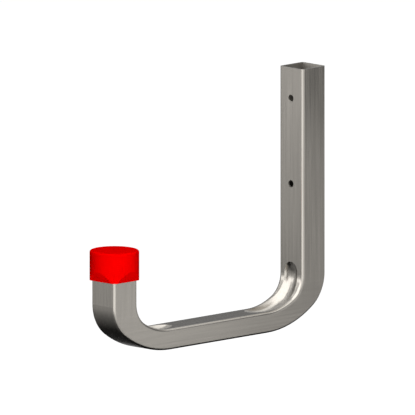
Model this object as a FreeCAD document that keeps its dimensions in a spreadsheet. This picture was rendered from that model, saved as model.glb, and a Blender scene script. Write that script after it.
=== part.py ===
"""Wall hook for a garage: one bent square steel tube with a push-on plastic cap on its short end.

Millimetres. The wall is the plane Y = 0 and the hook reaches out towards -Y, with X across it
and Z up. The origin lies on the wall, midway between the two screw holes.
"""
import FreeCAD, Part
import math
import os
import Sketcher
from FreeCAD import Placement, Rotation, Vector

# Every size that can be set by itself
SIZES = {
    # The tube, seen from the side
    "hook_height": 197.5,        # underside of the arm to the top of the long leg
    "hook_reach": 226.0,         # wall to the front of the short leg
    "short_leg_height": 79.0,    # underside of the arm to the end of the short leg
    "leg_depth": 25.0,           # both legs, front to back
    "arm_depth": 16.0,           # the arm, top to bottom, where the tube is squeezed flatter
    "bend_inner_reach": 36.0,    # inner face of each bend, along the arm
    "bend_inner_height": 23.5,   # inner face of each bend, along the leg
    "bend_inner_radius": 19.2,   # inner face, where the bend leaves the leg; it widens to the arm
    "bend_outer_radius": 29.7,   # outer face, likewise
    # The tube's section
    "tube_width": 25.0,
    "wall_thickness": 1.5,
    "corner_radius": 2.4,
    # The die that presses a groove into the inner wall of both bends: an oval disc, flat on top,
    # with its edge rounded on both sides
    "press_width": 22.0,
    "press_rounding": 10.0,
    "press_end_radius": 23.5,    # the disc's two tight ends
    "press_floor_radius": 39.8,  # the wide arc between them, which shapes the groove's floor
    "press_half_length": 9.9,    # from the disc's middle to the centre of each tight end
    "press_set_back": 4.5,       # the disc's middle, from the bend's centre towards the leg
    # The screw holes, through both walls of the long leg
    "hole_diameter": 5.5,
    "hole_spacing": 65.5,
    "hole_below_top": 23.4,
    # The cap
    "cap_wall": 2.0,             # over the tube's flat sides and over its corners
    "cap_roof": 2.0,
    "cap_grip": 21.0,            # length of tube that the cap covers
    "cap_flat_height": 8.2,      # how high the four flats rise at their middles
    "cap_clearance": 0.1,        # between the bore and the tube, on each side
    "cap_top_rounding": 1.5,
    "cap_rim_rounding": 0.4,
}

# A cutting shape runs this far past the face that it opens
OVERRUN = 1.0
# Two places closer together than this are the same place
TOUCHING = 1e-3

# Places worked out from the sizes, measured from the wall and from the underside of the arm
BEND_CENTRE_REACH = "(Sizes.leg_depth + Sizes.bend_inner_reach)"
BEND_CENTRE_HEIGHT = "(Sizes.arm_depth + Sizes.bend_inner_height)"
SHORT_LEG_MIDDLE = "(Sizes.hook_reach - Sizes.leg_depth / 2)"
ORIGIN_HEIGHT = "(Sizes.hook_height - Sizes.hole_below_top - Sizes.hole_spacing / 2)"

# The cap's sizes across, worked out from the tube that it fits over
BORE_WIDTH = "(Sizes.tube_width + 2 * Sizes.cap_clearance)"
BORE_DEPTH = "(Sizes.leg_depth + 2 * Sizes.cap_clearance)"
BORE_CORNER = "(Sizes.corner_radius + Sizes.cap_clearance)"
BORE_CORNER_REACH = f"(sqrt(({BORE_WIDTH} / 2 - {BORE_CORNER})^2 + ({BORE_DEPTH} / 2 - {BORE_CORNER})^2))"
CAP_RADIUS = f"({BORE_CORNER_REACH} + {BORE_CORNER} + Sizes.cap_wall)"
CAP_HEIGHT = "(Sizes.cap_grip + Sizes.cap_roof)"

# Ends of a sketched edge and the centre of an arc, and the sketch's own origin and level axis
START, END, MIDDLE = range(1, 4)
SKETCH_ORIGIN = (-1, START)
LEVEL_AXIS = -1

# Straight runs of the hook's outline, each numbered by the corner that it starts from
LONG_BACK, UNDERSIDE, SHORT_FRONT, SHORT_BACK, ARM_TOP, LONG_FRONT = range(0, 12, 2)


def make_sheet(doc):
    """Write every driving size into the spreadsheet, one row each."""
    sheet = doc.addObject("Spreadsheet::Sheet", "Sizes")
    for row, (name, number) in enumerate(SIZES.items(), start=1):
        sheet.set(f"A{row}", name)
        sheet.set(f"B{row}", str(number))
        sheet.setAlias(f"B{row}", name)
    doc.recompute()
    return sheet


def value(sheet, expression):
    """The number that an expression on the sheet gives."""
    return float(sheet.evalExpression(expression))


def new_sketch(body, name, role):
    """A sketch on one of the body's own origin planes."""
    sketch = body.newObject("Sketcher::SketchObject", name)
    plane = next(feature for feature in body.Origin.OriginFeatures if feature.Role == role)
    sketch.AttachmentSupport = (plane, [""])
    sketch.MapMode = "FlatFace"
    return sketch


def bind(sketch, constraint, expression):
    """Add a dimension to a sketch and tie it to the sheet."""
    index = sketch.addConstraint(constraint)
    sketch.setExpression(f"Constraints[{index}]", expression)


def bind_reach(sheet, sketch, edge, point, expression):
    """Tie how far a point lies out from the wall, which is the sketch's left, to the sheet."""
    ends = (edge, point, *SKETCH_ORIGIN)
    bind(sketch, Sketcher.Constraint("DistanceX", *ends, value(sheet, expression)), expression)


def bind_height(sheet, sketch, edge, point, expression):
    """Tie how high a point lies above the underside of the arm to the sheet."""
    ends = (*SKETCH_ORIGIN, edge, point)
    bind(sketch, Sketcher.Constraint("DistanceY", *ends, value(sheet, expression)), expression)


def bend_arcs(leg_end, arm_end, leg_radius):
    """Two arcs from the end of a leg to the end of the arm: a tight one, then a wide one.

    The wide arc's radius is the one that lets it touch both the tight arc and the arm smoothly.
    """
    across = abs(arm_end.x - leg_end.x)
    up = leg_end.y - arm_end.y
    arm_radius = ((across - leg_radius) ** 2 + up ** 2 - leg_radius ** 2) / (2 * (up - leg_radius))
    inward = Vector(math.copysign(1, arm_end.x - leg_end.x), 0, 0)
    leg_centre = leg_end + inward * leg_radius
    arm_centre = arm_end + Vector(0, arm_radius, 0)
    outward = (leg_centre - arm_centre).normalize()
    meeting = leg_centre + outward * leg_radius
    return [arc_about(leg_centre, leg_end, meeting), arc_about(arm_centre, meeting, arm_end)]


def arc_about(centre, start, end):
    """The short arc between two points that lie equally far from its centre."""
    towards_middle = (start - centre + end - centre).normalize()
    middle = centre + towards_middle * (start - centre).Length
    return Part.Arc(start, middle, end)


def join_outline(sketch, count, smooth):
    """Join each edge to the next, with no corner after those edges that are listed as smooth."""
    for edge in range(count):
        following = (edge + 1) % count
        joint = "Tangent" if edge in smooth else "Coincident"
        for leaving in (START, END):
            for arriving in (START, END):
                if sketch.getPoint(edge, leaving).isEqual(sketch.getPoint(following, arriving), TOUCHING):
                    sketch.addConstraint(Sketcher.Constraint(joint, edge, leaving, following, arriving))


def draw_hook_outline(sheet, body, inset, overrun):
    """The tube seen from the side, inset inside its faces and run on past both of its ends."""
    reach = {
        "back": f"{inset}",
        "leg_front": f"Sizes.leg_depth - {inset}",
        "far_bend": BEND_CENTRE_REACH,
        "near_bend": f"Sizes.hook_reach - {BEND_CENTRE_REACH}",
        "short_back": f"Sizes.hook_reach - Sizes.leg_depth + {inset}",
        "short_front": f"Sizes.hook_reach - {inset}",
    }
    height = {
        "under": f"{inset}",
        "over": f"Sizes.arm_depth - {inset}",
        "bend": BEND_CENTRE_HEIGHT,
        "short_top": f"Sizes.short_leg_height + {overrun}",
        "long_top": f"Sizes.hook_height + {overrun}",
    }
    outer_radius = f"Sizes.bend_outer_radius - {inset}"
    inner_radius = f"Sizes.bend_inner_radius + {inset}"
    across = {name: value(sheet, expression) for name, expression in reach.items()}
    up = {name: value(sheet, expression) for name, expression in height.items()}
    corners = [
        ("back", "long_top"), ("back", "bend"), ("far_bend", "under"), ("near_bend", "under"),
        ("short_front", "bend"), ("short_front", "short_top"), ("short_back", "short_top"),
        ("short_back", "bend"), ("near_bend", "over"), ("far_bend", "over"),
        ("leg_front", "bend"), ("leg_front", "long_top"),
    ]
    bends = {
        LONG_BACK + 1: outer_radius, UNDERSIDE + 1: outer_radius,
        SHORT_BACK + 1: inner_radius, ARM_TOP + 1: inner_radius,
    }

    sketch = new_sketch(body, "Outline", "YZ_Plane")
    lines = {}
    arcs = []
    for corner, (place, level) in enumerate(corners):
        next_place, next_level = corners[(corner + 1) % len(corners)]
        start = Vector(-across[place], up[level], 0)
        end = Vector(-across[next_place], up[next_level], 0)
        if corner in bends:
            down_the_leg = level == "bend"
            leg_end, arm_end = (start, end) if down_the_leg else (end, start)
            radius = value(sheet, bends[corner])
            pair = bend_arcs(leg_end, arm_end, radius)
            for arc in pair if down_the_leg else reversed(pair):
                arcs.append(sketch.addGeometry(arc, False))
            leg_arc = arcs[-2] if down_the_leg else arcs[-1]
            bind(sketch, Sketcher.Constraint("Radius", leg_arc, radius), bends[corner])
        else:
            lines[corner] = sketch.addGeometry(Part.LineSegment(start, end), False)
            upright = "Vertical" if place == next_place else "Horizontal"
            sketch.addConstraint(Sketcher.Constraint(upright, lines[corner]))
    count = len(lines) + len(arcs)
    join_outline(sketch, count, [edge for edge in range(count) if edge in arcs or edge + 1 in arcs])

    for run in (LONG_BACK, UNDERSIDE, SHORT_FRONT, SHORT_BACK, ARM_TOP, LONG_FRONT):
        place, level = corners[run]
        bind_reach(sheet, sketch, lines[run], START, reach[place])
        bind_height(sheet, sketch, lines[run], START, height[level])
    bind_height(sheet, sketch, lines[LONG_BACK], END, height["bend"])
    bind_reach(sheet, sketch, lines[UNDERSIDE], END, reach["near_bend"])
    bind_height(sheet, sketch, lines[SHORT_BACK], END, height["bend"])
    bind_reach(sheet, sketch, lines[ARM_TOP], END, reach["far_bend"])
    return sketch


def add_tube_form(doc, sheet, name, inset, overrun):
    """The hook's outline given its width: a body, and the feature that its shape ends with."""
    body = doc.addObject("PartDesign::Body", name)
    outline = draw_hook_outline(sheet, body, inset, overrun)
    pad = body.newObject("PartDesign::Pad", f"{name}_width")
    pad.Profile = outline
    pad.Midplane = True
    pad.setExpression("Length", f"Sizes.tube_width - 2 * {inset}")
    doc.recompute()
    return body, pad


def runs_along_tube(sheet, edge):
    """Whether an edge of the outer form runs along the tube, and not round one of its two ends."""
    box = edge.BoundBox
    side = value(sheet, "Sizes.tube_width / 2")
    ends = [value(sheet, f"Sizes.{leg}") for leg in ("hook_height", "short_leg_height")]
    on_side = box.XLength < OVERRUN and abs(abs(box.Center.x) - side) < TOUCHING
    on_end = box.ZLength < TOUCHING and any(abs(box.Center.z - end) < TOUCHING for end in ends)
    return on_side and not on_end


def draw_press_outline(sheet, body, grown):
    """The pressing die seen from the side: a wide arc between two tight ones, closed by a straight."""
    middle = f"{BEND_CENTRE_REACH} - Sizes.press_set_back"
    leg_end = f"{middle} - Sizes.press_half_length"
    end_radius = f"Sizes.press_end_radius + {grown}"
    floor_radius = f"Sizes.press_floor_radius + {grown}"

    tight = value(sheet, end_radius)
    wide = value(sheet, floor_radius)
    half_length = value(sheet, "Sizes.press_half_length")
    centre = Vector(-value(sheet, middle), value(sheet, BEND_CENTRE_HEIGHT), 0)
    wide_centre = centre + Vector(0, math.sqrt((wide - tight) ** 2 - half_length ** 2), 0)
    centres = [centre + Vector(side * half_length, 0, 0) for side in (1, -1)]
    tops = [tight_centre + Vector(0, tight, 0) for tight_centre in centres]
    joins = [tight_centre + (tight_centre - wide_centre).normalize() * tight for tight_centre in centres]

    sketch = new_sketch(body, "Outline", "YZ_Plane")
    leg_arc = sketch.addGeometry(arc_about(centres[0], tops[0], joins[0]), False)
    floor_arc = sketch.addGeometry(arc_about(wide_centre, joins[0], joins[1]), False)
    arm_arc = sketch.addGeometry(arc_about(centres[1], joins[1], tops[1]), False)
    top = sketch.addGeometry(Part.LineSegment(tops[1], tops[0]), False)
    join_outline(sketch, top + 1, range(top + 1))
    sketch.addConstraint(Sketcher.Constraint("Horizontal", top))
    sketch.addConstraint(Sketcher.Constraint("Equal", leg_arc, arm_arc))
    bind(sketch, Sketcher.Constraint("Radius", leg_arc, tight), end_radius)
    bind(sketch, Sketcher.Constraint("Radius", floor_arc, wide), floor_radius)
    bind_reach(sheet, sketch, leg_arc, MIDDLE, leg_end)
    bind_reach(sheet, sketch, floor_arc, MIDDLE, middle)
    bind_height(sheet, sketch, leg_arc, MIDDLE, BEND_CENTRE_HEIGHT)
    return sketch


def add_presses(doc, sheet, name, grown):
    """The die set in the far bend and mirrored in the near one, grown by the wall for the hollow."""
    far = doc.addObject("PartDesign::Body", f"far_{name}")
    pad = far.newObject("PartDesign::Pad", f"{name}_width")
    pad.Profile = draw_press_outline(sheet, far, grown)
    pad.Midplane = True
    pad.setExpression("Length", f"Sizes.press_width + 2 * {grown}")
    doc.recompute()
    side = pad.Shape.BoundBox.XMax
    round_edges(doc, far, pad, f"{name}_edge",
                lambda edge: edge.BoundBox.XLength < TOUCHING and abs(edge.BoundBox.Center.x) > side / 2,
                f"Sizes.press_rounding + {grown}")
    near = doc.addObject("Part::Mirroring", f"near_{name}")
    near.Source = far
    near.Normal = Vector(0, 1, 0)
    near.setExpression("Base.y", "-Sizes.hook_reach / 2")
    return [far, near]


def cut_from(doc, name, base, tools):
    """A solid with one tool, or a group of tools, cut from it."""
    tool = tools[0]
    if len(tools) > 1:
        tool = doc.addObject("Part::MultiFuse", f"{name}_tools")
        tool.Shapes = tools
    cut = doc.addObject("Part::Cut", name)
    cut.Base = base
    cut.Tool = tool
    return cut


def add_screw_hole(doc, name, below_top):
    """A drill as wide as a screw hole, through the front and the back wall of the long leg."""
    drill = doc.addObject("Part::Cylinder", name)
    drill.setExpression("Radius", "Sizes.hole_diameter / 2")
    drill.setExpression("Height", f"Sizes.leg_depth + 2 * {OVERRUN}")
    drill.Placement = Placement(Vector(0, OVERRUN, 0), Rotation(Vector(1, 0, 0), 90))
    drill.setExpression(".Placement.Base.z", f"Sizes.hook_height - {below_top}")
    return drill


def make_tube(doc, sheet):
    """The bent tube: outer form less its hollow, both pressed in at the bends, then drilled."""
    outer, pad = add_tube_form(doc, sheet, "tube_outside", 0.0, 0.0)
    round_edges(doc, outer, pad, "tube_corners", lambda edge: runs_along_tube(sheet, edge),
                "Sizes.corner_radius")
    hollow, _ = add_tube_form(doc, sheet, "tube_hollow", "Sizes.wall_thickness", OVERRUN)
    presses = add_presses(doc, sheet, "press", 0.0)
    dents = add_presses(doc, sheet, "dent", "Sizes.wall_thickness")
    pressed_outer = cut_from(doc, "pressed_outside", outer, presses)
    pressed_hollow = cut_from(doc, "pressed_hollow", hollow, dents)
    shell = cut_from(doc, "tube_shell", pressed_outer, [pressed_hollow])
    drills = [
        add_screw_hole(doc, "upper_screw_hole", "Sizes.hole_below_top"),
        add_screw_hole(doc, "lower_screw_hole", "Sizes.hole_below_top - Sizes.hole_spacing"),
    ]
    tube = cut_from(doc, "hook_tube", shell, drills)
    tube.setExpression(".Placement.Base.z", f"-{ORIGIN_HEIGHT}")
    tube.Label = "hook_tube"
    return tube


def rectangle(sheet, sketch, width, depth):
    """A rectangle round the sketch's origin, tied to the sheet."""
    half_width = value(sheet, width) / 2
    half_depth = value(sheet, depth) / 2
    corners = [Vector(-half_width, -half_depth, 0), Vector(half_width, -half_depth, 0),
               Vector(half_width, half_depth, 0), Vector(-half_width, half_depth, 0)]
    for side, start in enumerate(corners):
        sketch.addGeometry(Part.LineSegment(start, corners[(side + 1) % len(corners)]), False)
        sketch.addConstraint(Sketcher.Constraint("Vertical" if side % 2 else "Horizontal", side))
    join_outline(sketch, len(corners), [])
    sketch.addConstraint(Sketcher.Constraint("Symmetric", 0, START, 2, START, *SKETCH_ORIGIN))
    bind(sketch, Sketcher.Constraint("DistanceX", 0, START, 0, END, 2 * half_width), width)
    bind(sketch, Sketcher.Constraint("DistanceY", 1, START, 1, END, 2 * half_depth), depth)


def add_cap_flats(doc, sheet, body, name, role, tube_size):
    """Two slanted flats that narrow the round cap down to the tube's square at its open end."""
    sketch = new_sketch(body, f"{name}_wedge", role)
    inner = f"({tube_size} / 2 + Sizes.cap_clearance + Sizes.cap_wall)"
    outer = f"({CAP_RADIUS})"
    near = value(sheet, inner)
    far = value(sheet, outer)
    rise = value(sheet, "Sizes.cap_flat_height")
    for side, sign in enumerate((1, -1)):
        corners = [Vector(sign * near, 0, 0), Vector(sign * far, 0, 0), Vector(sign * far, rise, 0)]
        count = len(corners)
        first = count * side
        for edge, start in enumerate(corners):
            sketch.addGeometry(Part.LineSegment(start, corners[(edge + 1) % count]), False)
        for edge in range(count):
            sketch.addConstraint(
                Sketcher.Constraint("Coincident", first + edge, END, first + (edge + 1) % count, START))
        sketch.addConstraint(Sketcher.Constraint("PointOnObject", first, START, LEVEL_AXIS))
        sketch.addConstraint(Sketcher.Constraint("Horizontal", first))
        sketch.addConstraint(Sketcher.Constraint("Vertical", first + 1))
        for point, distance, expression in ((START, near, inner), (END, far, outer)):
            ends = (*SKETCH_ORIGIN, first, point) if sign > 0 else (first, point, *SKETCH_ORIGIN)
            bind(sketch, Sketcher.Constraint("DistanceX", *ends, distance), expression)
        bind(sketch, Sketcher.Constraint("DistanceY", first + 1, START, first + 1, END, rise),
             "Sizes.cap_flat_height")
    flats = body.newObject("PartDesign::Pocket", name)
    flats.Profile = sketch
    flats.Type = "ThroughAll"
    flats.Midplane = True
    doc.recompute()
    return flats


def round_edges(doc, body, base, name, wanted, radius):
    """Round those edges of a feature that the given test picks."""
    rounding = body.newObject("PartDesign::Fillet", name)
    names = [f"Edge{number}" for number, edge in enumerate(base.Shape.Edges, start=1) if wanted(edge)]
    rounding.Base = (base, names)
    rounding.setExpression("Radius", radius)
    doc.recompute()
    return rounding


def make_cap(doc, sheet):
    """The cap: a round cup with four flats at its open end and a square bore for the tube."""
    body = doc.addObject("PartDesign::Body", "end_cap")
    body.Label = "end_cap"
    circle = new_sketch(body, "cap_circle", "XY_Plane")
    radius = value(sheet, CAP_RADIUS)
    circle.addGeometry(Part.Circle(Vector(0, 0, 0), Vector(0, 0, 1), radius), False)
    circle.addConstraint(Sketcher.Constraint("Coincident", 0, MIDDLE, *SKETCH_ORIGIN))
    bind(circle, Sketcher.Constraint("Radius", 0, radius), CAP_RADIUS)
    barrel = body.newObject("PartDesign::Pad", "cap_barrel")
    barrel.Profile = circle
    barrel.setExpression("Length", CAP_HEIGHT)
    doc.recompute()

    top = round_edges(doc, body, barrel, "cap_top_edge",
                      lambda edge: edge.BoundBox.ZMin > value(sheet, CAP_HEIGHT) - TOUCHING,
                      "Sizes.cap_top_rounding")
    add_cap_flats(doc, sheet, body, "cap_side_flats", "XZ_Plane", "Sizes.tube_width")
    flats = add_cap_flats(doc, sheet, body, "cap_front_flats", "YZ_Plane", "Sizes.leg_depth")
    rim = round_edges(doc, body, flats, "cap_rim_edge",
                      lambda edge: edge.BoundBox.ZMax < TOUCHING,
                      "Sizes.cap_rim_rounding")

    square = new_sketch(body, "cap_bore_square", "XY_Plane")
    rectangle(sheet, square, BORE_WIDTH, BORE_DEPTH)
    bore = body.newObject("PartDesign::Pocket", "cap_bore")
    bore.Profile = square
    bore.Reversed = True
    bore.setExpression("Length", "Sizes.cap_grip")
    doc.recompute()
    bore_corner = math.hypot(value(sheet, BORE_WIDTH) / 2, value(sheet, BORE_DEPTH) / 2)
    corners = round_edges(doc, body, bore, "cap_bore_corners",
                          lambda edge: is_bore_corner(edge, bore_corner), BORE_CORNER)
    body.Tip = corners
    body.setExpression(".Placement.Base.y", f"-{SHORT_LEG_MIDDLE}")
    body.setExpression(".Placement.Base.z",
                       f"Sizes.short_leg_height - Sizes.cap_grip - {ORIGIN_HEIGHT}")
    return body


def is_bore_corner(edge, distance):
    """Whether an edge stands upright at a corner of the cap's square bore."""
    box = edge.BoundBox
    upright = box.XLength < TOUCHING and box.YLength < TOUCHING
    return upright and abs(math.hypot(box.Center.x, box.Center.y) - distance) < TOUCHING


def check_document(doc, nodes):
    """Stop if any object failed to build or any sub-part isn't one sound solid."""
    for item in doc.Objects:
        if "Invalid" in item.State or "Error" in item.State:
            raise RuntimeError(f"{item.Label} did not build: {item.State}")
    for node in nodes:
        if node.Shape.isNull() or not node.Shape.isValid():
            raise RuntimeError(f"{node.Label} has no sound shape")
        if len(node.Shape.Solids) != 1:
            raise RuntimeError(f"{node.Label} has {len(node.Shape.Solids)} solids")


def main():
    doc = FreeCAD.newDocument("UtilityHook")
    sheet = make_sheet(doc)
    nodes = [make_tube(doc, sheet), make_cap(doc, sheet)]
    doc.recompute()
    check_document(doc, nodes)
    os.makedirs("parts", exist_ok=True)
    for node in nodes:
        node.Shape.exportStep(f"parts/{node.Label}.step")
        print(node.Label, round(node.Shape.Volume), node.Shape.BoundBox)


main()
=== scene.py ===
"""Looks of the garage wall hook: satin steel tube, red vinyl cap, soft studio light. Metres."""
import math

import bpy
from mathutils import Matrix, Vector


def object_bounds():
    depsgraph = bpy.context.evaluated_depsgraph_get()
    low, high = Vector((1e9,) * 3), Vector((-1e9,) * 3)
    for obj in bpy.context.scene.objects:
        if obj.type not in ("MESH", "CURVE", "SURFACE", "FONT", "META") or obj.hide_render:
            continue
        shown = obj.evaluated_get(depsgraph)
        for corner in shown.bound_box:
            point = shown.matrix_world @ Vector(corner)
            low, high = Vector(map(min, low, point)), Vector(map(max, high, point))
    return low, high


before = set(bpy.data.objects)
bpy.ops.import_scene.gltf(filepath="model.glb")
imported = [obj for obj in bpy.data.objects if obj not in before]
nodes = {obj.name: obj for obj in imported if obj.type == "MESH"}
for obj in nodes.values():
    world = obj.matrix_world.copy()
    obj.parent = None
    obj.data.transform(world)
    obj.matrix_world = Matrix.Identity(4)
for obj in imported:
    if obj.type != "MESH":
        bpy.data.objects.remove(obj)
cad_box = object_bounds()

# The camera of the photograph, which sees the hook without perspective
VIEW_AZIMUTH = 45.0          # degrees, as all angles below
VIEW_ELEVATION = 9.85
FRAME_WIDTH = 0.3134         # what the frame spans across at the hook
AIM_RIGHT = -0.08065         # frame's centre from the origin, to the right in the view
AIM_UP = -0.05325            # and upwards in the view
CAMERA_DISTANCE = 1.2
NEAREST_SEEN = 0.01
FARTHEST_SEEN = 20.0

# The steel: a drawn tube's lines, which change its tone, its gloss and its surface a little
BEND_TOP = 0.045             # above the arm's underside, where the lines start to turn along the arm
ARM_MIDDLE = 0.012           # above it too, where they have turned
LINE_WIDTH = 0.0012
LINE_LENGTH = 0.06
LINE_DEPTH = 0.000004
STEEL_DARK = (0.230, 0.217, 0.197)
STEEL_LIGHT = (0.278, 0.262, 0.238)
STEEL_ROUGHNESS = (0.19, 0.27)

# Walls of the long leg's hollow and screw holes: duller as rolled, and a little darker, which is
# painted shade in these recesses
ROLLED_SHADED_DARK = (0.205, 0.194, 0.176)
ROLLED_SHADED_LIGHT = (0.25, 0.236, 0.215)
ROLLED_ROUGHNESS = (0.5, 0.6)
LEG_MIDDLE = -0.0125         # the leg's middle along Y
HOLLOW_REACH = 0.0113        # from the leg's middle, just past the hollow's walls
HOLLOW_BOTTOM = 0.06         # above the arm's underside, clear of the bend and its groove
RIM = 0.0005                 # below the leg's top, clear of its end face
HOLE_REACH = 0.003           # from the leg's middle, just past the holes' walls

# The vinyl: its grain, and clouds in its colour
VINYL_GRAIN = 0.0006
VINYL_DEPTH = 0.00001
VINYL_CLOUD = 0.008
VINYL_DARK = (0.86, 0.0, 0.0)
VINYL_LIGHT = (0.92, 0.0, 0.0)
VINYL_ROUGHNESS = (0.4, 0.55)

# Nearly all of a noise's values lie between these two
NOISE_LOW = 0.3
NOISE_HIGH = 0.7

# The floor and the world
FLOOR_GAP = 0.25             # below the hook
FLOOR_SIZE = 12.0
FLOOR_BOUNCE = 0.3           # grey of the light that the floor throws back onto the hook
FLOOR_LIT = 0.5              # grey that shows the hook's shadow
GLOW_NEAR = 0.75             # the floor's own glow up to the near distance from its middle
GLOW_FAR = 0.97              # and from the far distance on, with an even change between them
NEAR = 0.3
FAR = 1.0
WORLD_LIGHT = 0.1            # grey of the light from all round

# The lamps and the cards
LIT_SPOT = Vector((0, -0.1, -0.05))         # what the lamps aim at
CARDS_MIDDLE = Vector((0, -0.1, -0.1))      # what the facing cards face
CARDS_ABOVE = 0.5            # height of the cards over the hook
CARDS_BELOW = -0.1           # and of those under it, from its underside
SIDE_DISTANCE = 0.5          # of the cards that the hook's right side mirrors


def direction(azimuth, elevation):
    """The direction that points from the hook to a viewer at this azimuth and elevation."""
    a, e = math.radians(azimuth), math.radians(elevation)
    return Vector((math.sin(a) * math.cos(e), -math.cos(a) * math.cos(e), math.sin(e)))


def view_axes():
    """Right, up and back-towards-the-viewer directions of the photograph's view."""
    right = direction(VIEW_AZIMUTH + 90, 0)
    up = direction(VIEW_AZIMUTH, VIEW_ELEVATION + 90)
    back = direction(VIEW_AZIMUTH, VIEW_ELEVATION)
    return right, up, back


def add_camera():
    """The photograph's camera, which looks at the middle of its frame."""
    right, up, back = view_axes()
    data = bpy.data.cameras.new("photo_camera")
    data.type = "ORTHO"
    data.ortho_scale = FRAME_WIDTH
    data.clip_start = NEAREST_SEEN
    data.clip_end = FARTHEST_SEEN
    camera = bpy.data.objects.new("photo_camera", data)
    camera.location = right * AIM_RIGHT + up * AIM_UP + back * CAMERA_DISTANCE
    turn = Matrix((right, up, back)).transposed()
    camera.rotation_euler = turn.to_euler()
    bpy.context.collection.objects.link(camera)
    bpy.context.scene.camera = camera


def node_tree(name):
    """A new material with nothing in its node tree but its output."""
    material = bpy.data.materials.new(name)
    material.use_nodes = True
    tree = material.node_tree
    tree.nodes.clear()
    return material, tree, tree.nodes.new("ShaderNodeOutputMaterial")


def add_noise(tree, feature_size, detail):
    """Noise with features of this size in metres along the object's own X, Y and Z."""
    place = tree.nodes.new("ShaderNodeTexCoord")
    stretch = tree.nodes.new("ShaderNodeMapping")
    stretch.inputs["Scale"].default_value = [1 / size for size in feature_size]
    noise = tree.nodes.new("ShaderNodeTexNoise")
    noise.inputs["Scale"].default_value = 1.0
    noise.inputs["Detail"].default_value = detail
    tree.links.new(place.outputs["Object"], stretch.inputs["Vector"])
    tree.links.new(stretch.outputs["Vector"], noise.inputs["Vector"])
    return noise.outputs["Fac"]


def add_range(tree, source, low, high, from_low=NOISE_LOW, from_high=NOISE_HIGH):
    """A value whose range, by default a noise's, is stretched to run from low to high."""
    spread = tree.nodes.new("ShaderNodeMapRange")
    spread.inputs["From Min"].default_value = from_low
    spread.inputs["From Max"].default_value = from_high
    spread.inputs["To Min"].default_value = low
    spread.inputs["To Max"].default_value = high
    tree.links.new(source, spread.inputs["Value"])
    return spread.outputs["Result"]


def add_mix(tree, factor, first, second):
    """First turning into second as the factor goes from 0 to 1."""
    mix = tree.nodes.new("ShaderNodeMix")
    tree.links.new(factor, mix.inputs["Factor"])
    tree.links.new(first, mix.inputs["A"])
    tree.links.new(second, mix.inputs["B"])
    return mix.outputs["Result"]


def add_tint(tree, factor, first, second):
    """One colour turning into another as the factor goes from 0 to 1."""
    mix = tree.nodes.new("ShaderNodeMix")
    mix.data_type = "RGBA"
    tree.links.new(factor, mix.inputs["Factor"])
    from_colour, to_colour = [socket for socket in mix.inputs if socket.type == "RGBA"]
    from_colour.default_value = (*first, 1)
    to_colour.default_value = (*second, 1)
    return next(socket for socket in mix.outputs if socket.type == "RGBA")


def add_bump(tree, height, depth):
    """A normal that follows the given height, whose full range is this deep in metres."""
    bump = tree.nodes.new("ShaderNodeBump")
    bump.inputs["Distance"].default_value = depth
    tree.links.new(height, bump.inputs["Height"])
    return bump.outputs["Normal"]


def add_share_of_arm(tree):
    """0 on the two legs and 1 on the arm, with a smooth change round the bends."""
    low, _ = cad_box
    place = tree.nodes.new("ShaderNodeTexCoord")
    split = tree.nodes.new("ShaderNodeSeparateXYZ")
    tree.links.new(place.outputs["Object"], split.inputs["Vector"])
    return add_range(tree, split.outputs["Z"], 0.0, 1.0, low.z + BEND_TOP, low.z + ARM_MIDDLE)


def steel_material(name, dark, light, roughness):
    """Bare steel with the faint lines of a drawn tube, which run along it."""
    material, tree, out = node_tree(name)
    shader = tree.nodes.new("ShaderNodeBsdfPrincipled")
    shader.inputs["Metallic"].default_value = 1.0
    leg_lines = add_noise(tree, (LINE_WIDTH, LINE_WIDTH, LINE_LENGTH), detail=3.0)
    arm_lines = add_noise(tree, (LINE_WIDTH, LINE_LENGTH, LINE_WIDTH), detail=3.0)
    lines = add_mix(tree, add_share_of_arm(tree), leg_lines, arm_lines)
    colour = add_tint(tree, add_range(tree, lines, 0.0, 1.0), dark, light)
    tree.links.new(colour, shader.inputs["Base Color"])
    tree.links.new(add_range(tree, lines, *roughness), shader.inputs["Roughness"])
    tree.links.new(add_bump(tree, lines, LINE_DEPTH), shader.inputs["Normal"])
    tree.links.new(shader.outputs["BSDF"], out.inputs["Surface"])
    return material


def vinyl_material():
    """Red dipped vinyl: matt, with a very fine grain."""
    material, tree, out = node_tree("red_vinyl")
    shader = tree.nodes.new("ShaderNodeBsdfPrincipled")
    shader.inputs["Specular IOR Level"].default_value = 0.0
    grain = add_noise(tree, (VINYL_GRAIN, VINYL_GRAIN, VINYL_GRAIN), detail=2.0)
    clouds = add_noise(tree, (VINYL_CLOUD, VINYL_CLOUD, VINYL_CLOUD), detail=1.0)
    colour = add_tint(tree, clouds, VINYL_DARK, VINYL_LIGHT)
    tree.links.new(colour, shader.inputs["Base Color"])
    tree.links.new(add_range(tree, grain, *VINYL_ROUGHNESS), shader.inputs["Roughness"])
    tree.links.new(add_bump(tree, grain, VINYL_DEPTH), shader.inputs["Normal"])
    tree.links.new(shader.outputs["BSDF"], out.inputs["Surface"])
    return material


def dress(node, material):
    """Give the whole node one material and smooth shading."""
    node.data.materials.clear()
    node.data.materials.append(material)
    for face in node.data.polygons:
        face.use_smooth = True


def dress_inside(node, material):
    """Give the walls of the long leg's hollow and of its screw holes a material of their own, whose
    darker colour is painted shade.
    """
    low, high = cad_box
    node.data.materials.append(material)
    inside = len(node.data.materials) - 1
    for face in node.data.polygons:
        x, y, z = face.center
        in_leg = low.z + HOLLOW_BOTTOM < z < high.z - RIM
        in_hollow = max(abs(x), abs(y - LEG_MIDDLE)) < HOLLOW_REACH
        in_hole = abs(x) < HOLE_REACH and round(face.normal.y) == 0
        if in_leg and (in_hollow or in_hole):
            face.material_index = inside


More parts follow.
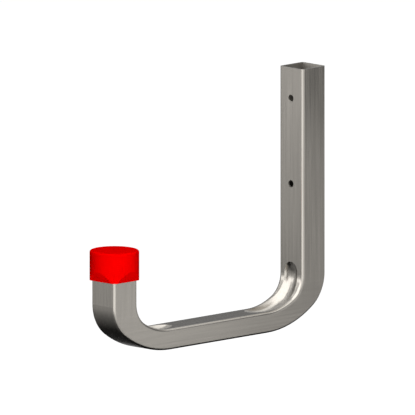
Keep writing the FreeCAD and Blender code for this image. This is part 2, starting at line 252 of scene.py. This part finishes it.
def add_seen_rays(tree):
    """1 where a ray comes from the camera or from a mirroring or see-through surface, otherwise 0."""
    path = tree.nodes.new("ShaderNodeLightPath")
    either = tree.nodes.new("ShaderNodeMath")
    either.operation = "MAXIMUM"
    seen = tree.nodes.new("ShaderNodeMath")
    seen.operation = "MAXIMUM"
    tree.links.new(path.outputs["Is Camera Ray"], either.inputs[0])
    tree.links.new(path.outputs["Is Glossy Ray"], either.inputs[1])
    tree.links.new(either.outputs[0], seen.inputs[0])
    tree.links.new(path.outputs["Is Transmission Ray"], seen.inputs[1])
    return seen.outputs[0]


def add_pick(tree, unseen, seen, out):
    """Show one shader to seen rays and the other to all other light."""
    pick = tree.nodes.new("ShaderNodeMixShader")
    unseen_input, seen_input = [socket for socket in pick.inputs if socket.type == "SHADER"]
    tree.links.new(add_seen_rays(tree), pick.inputs["Fac"])
    tree.links.new(unseen.outputs[0], unseen_input)
    tree.links.new(seen.outputs[0], seen_input)
    tree.links.new(pick.outputs[0], out.inputs["Surface"])


def floor_material():
    """Pale floor: white to the eye where it is lit, and darker where the hook shades it."""
    material, tree, out = node_tree("pale_floor")
    bounce = tree.nodes.new("ShaderNodeBsdfDiffuse")
    bounce.inputs["Color"].default_value = (FLOOR_BOUNCE, FLOOR_BOUNCE, FLOOR_BOUNCE, 1)
    lit = tree.nodes.new("ShaderNodeBsdfDiffuse")
    lit.inputs["Color"].default_value = (FLOOR_LIT, FLOOR_LIT, FLOOR_LIT, 1)
    place = tree.nodes.new("ShaderNodeTexCoord")
    away = tree.nodes.new("ShaderNodeVectorMath")
    away.operation = "LENGTH"
    tree.links.new(place.outputs["Object"], away.inputs[0])
    glow = tree.nodes.new("ShaderNodeEmission")
    strength = add_range(tree, away.outputs["Value"], GLOW_NEAR, GLOW_FAR, NEAR, FAR)
    tree.links.new(strength, glow.inputs["Strength"])
    both = tree.nodes.new("ShaderNodeAddShader")
    tree.links.new(lit.outputs[0], both.inputs[0])
    tree.links.new(glow.outputs[0], both.inputs[1])
    add_pick(tree, bounce, both, out)
    return material


def add_floor():
    """A wide floor, far enough below the hook to keep its shadow out of the photograph's frame."""
    low, _ = cad_box
    bpy.ops.mesh.primitive_plane_add(size=FLOOR_SIZE, location=(0, 0, low.z - FLOOR_GAP))
    floor = bpy.context.object
    floor.name = "floor"
    floor.data.materials.append(floor_material())


def add_world():
    """White all round to the eye and in reflections, and a plain grey light on everything else."""
    world = bpy.data.worlds.new("studio")
    bpy.context.scene.world = world
    world.use_nodes = True
    tree = world.node_tree
    tree.nodes.clear()
    out = tree.nodes.new("ShaderNodeOutputWorld")
    around = tree.nodes.new("ShaderNodeBackground")
    around.inputs["Color"].default_value = (WORLD_LIGHT, WORLD_LIGHT, WORLD_LIGHT, 1)
    white = tree.nodes.new("ShaderNodeBackground")
    white.inputs["Color"].default_value = (1, 1, 1, 1)
    add_pick(tree, around, white, out)


def add_softbox(name, azimuth, elevation, distance, width, height, radiance):
    """A rectangular lamp, facing the hook, that neither the camera nor reflections show."""
    towards = direction(azimuth, elevation)
    data = bpy.data.lights.new(name, "AREA")
    data.shape = "RECTANGLE"
    data.size = width
    data.size_y = height
    data.energy = radiance * math.pi * width * height
    lamp = bpy.data.objects.new(name, data)
    lamp.location = LIT_SPOT + towards * distance
    lamp.rotation_euler = towards.to_track_quat("Z", "Y").to_euler()
    lamp.visible_camera = False
    lamp.visible_glossy = False
    bpy.context.collection.objects.link(lamp)


def add_lights():
    """Soft light from the camera's side and from above."""
    add_softbox("key_softbox", azimuth=45, elevation=8, distance=1.1,
                width=0.8, height=0.8, radiance=5.6)
    add_softbox("overhead_softbox", azimuth=20, elevation=85, distance=0.9,
                width=1.0, height=0.6, radiance=2.6)


def card_material(name, strength, top_strength):
    """A plain glow, or one that changes evenly from the card's bottom edge to its top edge."""
    material, tree, out = node_tree(name)
    glow = tree.nodes.new("ShaderNodeEmission")
    glow.inputs["Strength"].default_value = strength
    if top_strength is not None:
        place = tree.nodes.new("ShaderNodeTexCoord")
        split = tree.nodes.new("ShaderNodeSeparateXYZ")
        tree.links.new(place.outputs["Generated"], split.inputs["Vector"])
        fade = add_range(tree, split.outputs["Y"], strength, top_strength, 0.0, 1.0)
        tree.links.new(fade, glow.inputs["Strength"])
    tree.links.new(glow.outputs[0], out.inputs["Surface"])
    return material


def add_card(name, centre, turn, width, height, strength, top_strength=None):
    """A studio card that only reflections show, so that the metal has something to mirror."""
    bpy.ops.mesh.primitive_plane_add(size=1, location=centre)
    card = bpy.context.object
    card.name = name
    card.scale = (width, height, 1)
    card.rotation_euler = turn
    card.data.materials.append(card_material(name, strength, top_strength))
    card.visible_camera = False
    card.visible_diffuse = False
    card.visible_shadow = False


def add_facing_card(name, azimuth, elevation, distance, width, height, strength):
    """A card that faces the hook from this azimuth and elevation."""
    towards = direction(azimuth, elevation)
    turn = towards.to_track_quat("Z", "Y").to_euler()
    add_card(name, CARDS_MIDDLE + towards * distance, turn, width, height, strength)


def add_level_card(name, left, right, front, back, z, front_strength, back_strength=None):
    """A level card between these places along X and Y, whose glow may change from front to back."""
    centre = ((left + right) / 2, (front + back) / 2, z)
    add_card(name, centre, (0, 0, 0), right - left, back - front, front_strength, back_strength)


def add_side_card(name, aside, up, width, height, strength):
    """A card behind the hook, this far aside of and above what its right side mirrors."""
    _, _, back = view_axes()
    right_side = Vector((1, 0, 0))
    mirrored = 2 * right_side.dot(back) * right_side - back
    across = Vector((-mirrored.y, mirrored.x, 0)).normalized()
    centre = mirrored * SIDE_DISTANCE + across * aside + Vector((0, 0, up))
    turn = mirrored.to_track_quat("Z", "Y").to_euler()
    add_card(name, centre, turn, width, height, strength)


def add_front_cards():
    """Bright cards, for the grooves and the tube's rounded edges."""
    add_facing_card("card_front", azimuth=-6, elevation=40, distance=0.9,
                    width=1.45, height=0.9, strength=4.2)
    add_facing_card("card_front_left", azimuth=-32, elevation=8, distance=2.0,
                    width=1.4, height=0.42, strength=4.2)
    add_facing_card("card_front_low", azimuth=42, elevation=-14, distance=0.9,
                    width=1.2, height=0.75, strength=3.0)
    add_facing_card("card_front_right", azimuth=62, elevation=-4, distance=0.88,
                    width=0.8, height=0.9, strength=2.4)


def add_level_cards():
    """Bright cards over the hook, and dark ones under it that blacken the near bend's underside."""
    low, _ = cad_box
    below = low.z + CARDS_BELOW
    add_level_card("card_above", left=-0.56, right=0.8, front=-0.76, back=0.0, z=CARDS_ABOVE,
                   front_strength=4.2)
    add_level_card("card_above_back", left=-0.35, right=0.45, front=0.0, back=0.7, z=CARDS_ABOVE,
                   front_strength=3.4, back_strength=1.4)
    add_level_card("card_below", left=-0.19, right=0.09, front=-0.23, back=0.3, z=below,
                   front_strength=0.02)
    add_level_card("card_below_left", left=-0.6, right=-0.19, front=-0.23, back=0.3, z=below,
                   front_strength=0.4)
    add_level_card("card_below_front", left=-0.68, right=0.09, front=-0.52, back=-0.23, z=below,
                   front_strength=0.68, back_strength=0.03)
    add_level_card("card_low_left", left=-0.68, right=-0.1, front=-1.0, back=-0.52, z=below,
                   front_strength=0.68)


def add_side_cards():
    """Grey cards, for the top of the arm and for the hook's right side."""
    add_facing_card("card_left", azimuth=-113, elevation=6, distance=0.7,
                    width=1.0, height=0.52, strength=0.25)
    add_side_card("card_side", aside=-0.28, up=-0.05, width=0.4, height=0.7, strength=1.35)
    add_side_card("card_right", aside=0.17, up=0.2, width=0.46, height=0.36, strength=0.3)
    add_side_card("card_low_right", aside=0.17, up=-0.16, width=0.46, height=0.36, strength=0.75)


add_world()
add_floor()
add_lights()
add_front_cards()
add_level_cards()
add_side_cards()
add_camera()

tube = nodes["hook_tube"]
dress(tube, steel_material("satin_steel", STEEL_DARK, STEEL_LIGHT, STEEL_ROUGHNESS))
# The hollow's and holes' walls: a duller rolled finish, and a darker colour that is painted shade
dress_inside(tube, steel_material("rolled_shaded_steel", ROLLED_SHADED_DARK, ROLLED_SHADED_LIGHT, ROLLED_ROUGHNESS))
dress(nodes["end_cap"], vinyl_material())

bpy.context.scene.view_settings.view_transform = "Standard"
